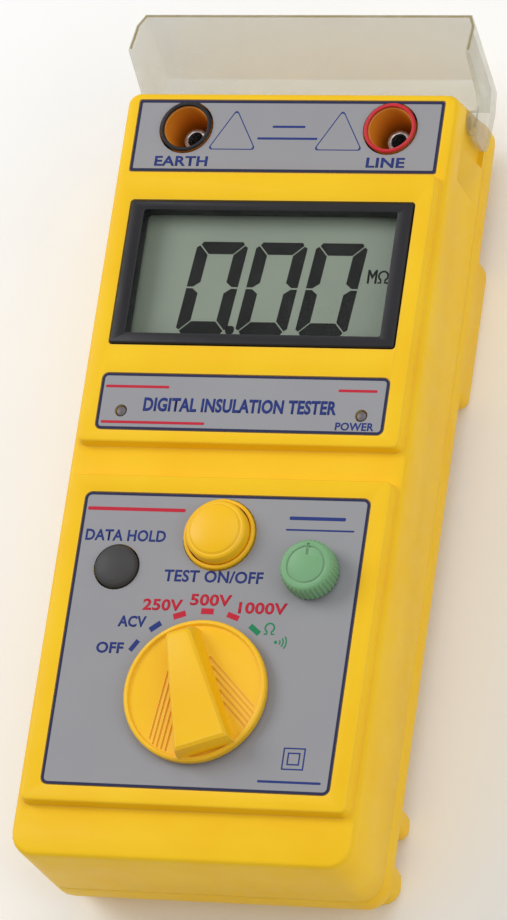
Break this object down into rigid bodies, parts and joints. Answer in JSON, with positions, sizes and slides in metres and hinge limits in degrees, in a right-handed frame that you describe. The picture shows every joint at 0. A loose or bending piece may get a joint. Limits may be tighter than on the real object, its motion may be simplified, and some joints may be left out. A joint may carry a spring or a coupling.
{
  "type": "insulation resistance tester",
  "caption": "Hand-held insulation resistance tester: case with display, range selector, push buttons, zero adjuster, lead sockets and a hinged clear terminal cover.",
  "frame": {"origin": "middle of the footprint, on the surface the instrument lies on", "axes": "+X across the case to the LINE socket, +Y along the case towards the sockets, +Z out of the front face"},
  "size_m": [0.09, 0.2232, 0.0543],
  "materials": {
    "case": "yellow ABS, fine texture",
    "clear": "clear polycarbonate",
    "label": "grey printed film",
    "black": "black moulded plastic",
    "rubber": "dark grey rubber",
    "red": "red moulded plastic",
    "green": "green knurled plastic",
    "lcd": "liquid crystal panel",
    "led": "unlit lens",
    "nickel": "nickel plate",
    "board": "glass-epoxy laminate",
    "winding": "enamelled copper",
    "cell": "printed cell wrap",
    "steel": "zinc-plated steel"
  },
  "bodies": {
    "case": {"front_case": "case", "rear_case": "case", "battery_door": "case", "case_screw_1": "steel", "case_screw_2": "steel", "case_screw_3": "steel", "case_screw_4": "steel", "battery_door_screw": "steel", "status_label": "label", "control_label": "label", "terminal_label": "label", "display_bezel": "black", "display_window": "clear", "lcd_panel": "lcd", "selector_switch": "black", "test_ring": "case", "test_switch": "black", "hold_switch": "black", "zero_potentiometer": "nickel", "earth_ring": "black", "earth_well": "case", "earth_contact": "nickel", "line_ring": "red", "line_well": "case", "line_contact": "nickel", "live_led": "led", "power_led": "led", "main_board": "board", "transformer_core": "steel", "transformer_winding": "winding", "buzzer": "black", "fuse": "nickel", "battery_tray": "black", "cell_1": "cell", "cell_2": "cell", "cell_3": "cell", "cell_4": "cell", "cell_5": "cell", "cell_6": "cell", "cell_7": "cell", "cell_8": "cell", "contact_far_left": "nickel", "contact_far_right": "nickel", "contact_near_left": "nickel", "contact_near_middle": "nickel", "contact_near_right": "nickel", "cell_link_1": "nickel", "cell_link_2": "nickel", "cell_link_3": "nickel", "cell_link_4": "nickel"},
    "cover": {"terminal_cover": "clear"},
    "selector": {"selector_knob": "case", "selector_spindle": "nickel"},
    "test": {"test_button": "case"},
    "hold": {"hold_button": "rubber"},
    "zero": {"zero_knob": "green", "zero_spindle": "nickel"}
  },
  "joints": [
    {"name": "cover_hinge", "type": "hinge", "parent": "case", "child": "cover", "pos_m": [0, 0.08765, 0.0289], "axis": [1, 0, 0], "range_deg": [0, 108]},
    {"name": "selector_turn", "type": "hinge", "parent": "case", "child": "selector", "pos_m": [0, -0.07025, 0.048], "axis": [0, 0, 1], "range_deg": [-58, 38]},
    {"name": "test_press", "type": "slide", "parent": "case", "child": "test", "axis": [0, 0, -1], "range_m": [0, 0.0015], "stiffness_N_per_m": 400, "springref_m": -0.001},
    {"name": "hold_press", "type": "slide", "parent": "case", "child": "hold", "axis": [0, 0, -1], "range_m": [0, 0.0012], "stiffness_N_per_m": 400, "springref_m": -0.001},
    {"name": "zero_turn", "type": "hinge", "parent": "case", "child": "zero", "pos_m": [0.0247, -0.03865, 0.048], "axis": [0, 0, 1], "range_deg": [-140, 140]}
  ]
}
